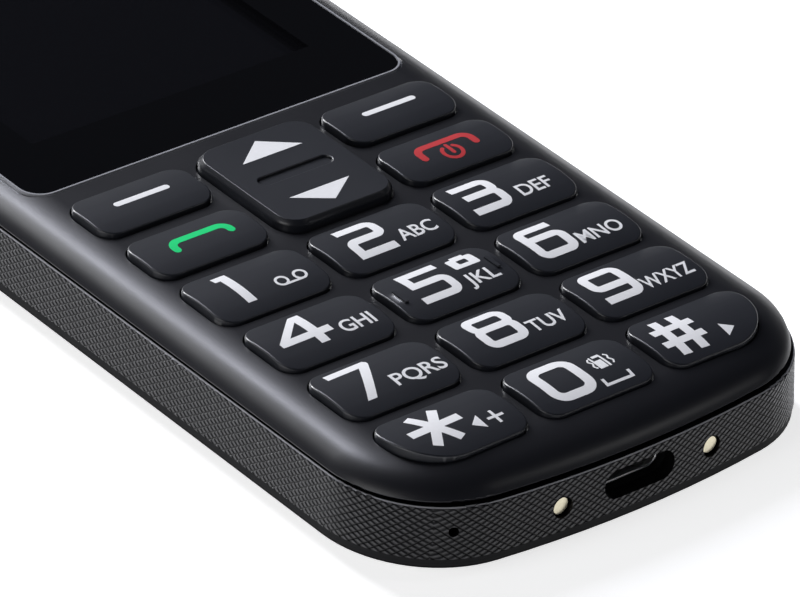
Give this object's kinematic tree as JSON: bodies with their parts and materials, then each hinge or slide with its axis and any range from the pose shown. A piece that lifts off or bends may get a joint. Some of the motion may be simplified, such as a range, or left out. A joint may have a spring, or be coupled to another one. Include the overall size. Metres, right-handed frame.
{
  "type": "mobile phone",
  "caption": "Bar phone with large raised keys, a two-way navigation rocker, a flat display lens, a flared side band and a sliding back cover.",
  "frame": {"origin": "middle of the back face, on the plane the phone rests on when it lies on its back", "axes": "+Z out of the front, +Y towards the earpiece end, +X to the user's right when the screen faces the user"},
  "size_m": [0.0594, 0.139, 0.013],
  "materials": {
    "cover_plastic": "satin black moulding with a fine soft-touch grain",
    "band_plastic": "dark grey moulding with a crossed hairline texture",
    "rear_plastic": "matt black moulding",
    "key_plastic": "dark slate satin caps with printed legends",
    "rocker_plastic": "satin dark grey",
    "lens_clear": "clear lens with a black printed border",
    "bezel_gloss": "bright glossy rim",
    "tape": "black foam tape",
    "display_glass": "dark switched-off display glass",
    "backlight_tray": "pressed tray",
    "ribbon": "amber film with copper tracks",
    "silicone": "translucent grey silicone",
    "dome_steel": "thin sprung steel",
    "board_green": "green solder mask",
    "can_steel": "tinned sheet",
    "battery_wrap": "wrapped cell",
    "contact_gold": "gold plated",
    "socket_block": "black moulded block",
    "mesh_cloth": "fine dust mesh",
    "optics": "clear disc",
    "usb_steel": "drawn steel shell",
    "tungsten": "heavy sintered weight on a steel shaft",
    "screw_steel": "blackened steel"
  },
  "bodies": {
    "phone": {"front_cover": "cover_plastic", "display_bezel": "bezel_gloss", "display_lens": "lens_clear", "lens_tape": "tape", "lcd_panel": "display_glass", "lcd_backlight": "backlight_tray", "lcd_flex": "ribbon", "keypad_mat": "silicone", "key_domes": "dome_steel", "main_board": "board_green", "side_frame": "band_plastic", "rear_housing": "rear_plastic", "battery": "battery_wrap", "battery_socket": "socket_block", "battery_terminals": "contact_gold", "sim_sockets": "can_steel", "card_socket": "can_steel", "shield_radio": "can_steel", "shield_power": "can_steel", "loudspeaker": "socket_block", "speaker_mesh": "mesh_cloth", "camera_module": "socket_block", "camera_window": "optics", "flash_lens": "optics", "earpiece": "socket_block", "earpiece_mesh": "mesh_cloth", "vibration_motor": "usb_steel", "microphone": "can_steel", "usb_shell": "usb_steel", "usb_tongue": "socket_block", "charge_contacts": "contact_gold", "antenna": "socket_block", "volume_switch": "socket_block", "housing_screws": "screw_steel"},
    "key_soft_left": {"key_soft_left": "key_plastic"},
    "key_soft_right": {"key_soft_right": "key_plastic"},
    "key_call": {"key_call": "key_plastic"},
    "key_end": {"key_end": "key_plastic"},
    "key_1": {"key_1": "key_plastic"},
    "key_2": {"key_2": "key_plastic"},
    "key_3": {"key_3": "key_plastic"},
    "key_4": {"key_4": "key_plastic"},
    "key_5": {"key_5": "key_plastic"},
    "key_6": {"key_6": "key_plastic"},
    "key_7": {"key_7": "key_plastic"},
    "key_8": {"key_8": "key_plastic"},
    "key_9": {"key_9": "key_plastic"},
    "key_star": {"key_star": "key_plastic"},
    "key_0": {"key_0": "key_plastic"},
    "key_hash": {"key_hash": "key_plastic"},
    "key_nav": {"key_nav": "key_plastic"},
    "volume_rocker": {"volume_rocker": "rocker_plastic"},
    "back_cover": {"back_cover": "rear_plastic"},
    "vibration_weight": {"vibration_weight": "tungsten"}
  },
  "joints": [
    {"name": "key_soft_left_press", "type": "slide", "parent": "phone", "child": "key_soft_left", "axis": [0, 0, -1], "range_m": [0, 0.0003], "stiffness_N_per_m": 1500, "springref_m": -0.0003},
    {"name": "key_soft_right_press", "type": "slide", "parent": "phone", "child": "key_soft_right", "axis": [0, 0, -1], "range_m": [0, 0.0003], "stiffness_N_per_m": 1500, "springref_m": -0.0003},
    {"name": "key_call_press", "type": "slide", "parent": "phone", "child": "key_call", "axis": [0, 0, -1], "range_m": [0, 0.0003], "stiffness_N_per_m": 1500, "springref_m": -0.0003},
    {"name": "key_end_press", "type": "slide", "parent": "phone", "child": "key_end", "axis": [0, 0, -1], "range_m": [0, 0.0003], "stiffness_N_per_m": 1500, "springref_m": -0.0003},
    {"name": "key_1_press", "type": "slide", "parent": "phone", "child": "key_1", "axis": [0, 0, -1], "range_m": [0, 0.0003], "stiffness_N_per_m": 1500, "springref_m": -0.0003},
    {"name": "key_2_press", "type": "slide", "parent": "phone", "child": "key_2", "axis": [0, 0, -1], "range_m": [0, 0.0003], "stiffness_N_per_m": 1500, "springref_m": -0.0003},
    {"name": "key_3_press", "type": "slide", "parent": "phone", "child": "key_3", "axis": [0, 0, -1], "range_m": [0, 0.0003], "stiffness_N_per_m": 1500, "springref_m": -0.0003},
    {"name": "key_4_press", "type": "slide", "parent": "phone", "child": "key_4", "axis": [0, 0, -1], "range_m": [0, 0.0003], "stiffness_N_per_m": 1500, "springref_m": -0.0003},
    {"name": "key_5_press", "type": "slide", "parent": "phone", "child": "key_5", "axis": [0, 0, -1], "range_m": [0, 0.0003], "stiffness_N_per_m": 1500, "springref_m": -0.0003},
    {"name": "key_6_press", "type": "slide", "parent": "phone", "child": "key_6", "axis": [0, 0, -1], "range_m": [0, 0.0003], "stiffness_N_per_m": 1500, "springref_m": -0.0003},
    {"name": "key_7_press", "type": "slide", "parent": "phone", "child": "key_7", "axis": [0, 0, -1], "range_m": [0, 0.0003], "stiffness_N_per_m": 1500, "springref_m": -0.0003},
    {"name": "key_8_press", "type": "slide", "parent": "phone", "child": "key_8", "axis": [0, 0, -1], "range_m": [0, 0.0003], "stiffness_N_per_m": 1500, "springref_m": -0.0003},
    {"name": "key_9_press", "type": "slide", "parent": "phone", "child": "key_9", "axis": [0, 0, -1], "range_m": [0, 0.0003], "stiffness_N_per_m": 1500, "springref_m": -0.0003},
    {"name": "key_star_press", "type": "slide", "parent": "phone", "child": "key_star", "axis": [0, 0, -1], "range_m": [0, 0.0003], "stiffness_N_per_m": 1500, "springref_m": -0.0003},
    {"name": "key_0_press", "type": "slide", "parent": "phone", "child": "key_0", "axis": [0, 0, -1], "range_m": [0, 0.0003], "stiffness_N_per_m": 1500, "springref_m": -0.0003},
    {"name": "key_hash_press", "type": "slide", "parent": "phone", "child": "key_hash", "axis": [0, 0, -1], "range_m": [0, 0.0003], "stiffness_N_per_m": 1500, "springref_m": -0.0003},
    {"name": "nav_tilt", "type": "hinge", "parent": "phone", "child": "key_nav", "pos_m": [0, -0.0126, 0.0101], "axis": [1, 0, 0], "range_deg": [-2, 2], "stiffness_Nm_per_rad": 0.05},
    {"name": "volume_tilt", "type": "hinge", "parent": "phone", "child": "volume_rocker", "pos_m": [0.02728, 0.038, 0.0059], "axis": [0, 0, 1], "range_deg": [-2.5, 2.5], "stiffness_Nm_per_rad": 0.03},
    {"name": "back_cover_slide", "type": "slide", "parent": "phone", "child": "back_cover", "axis": [0, -1, 0], "range_m": [0, 0.01]},
    {"name": "weight_spin", "type": "hinge", "parent": "phone", "child": "vibration_weight", "pos_m": [0.011, -0.05, 0.00325], "axis": [1, 0, 0], "continuous": true}
  ]
}
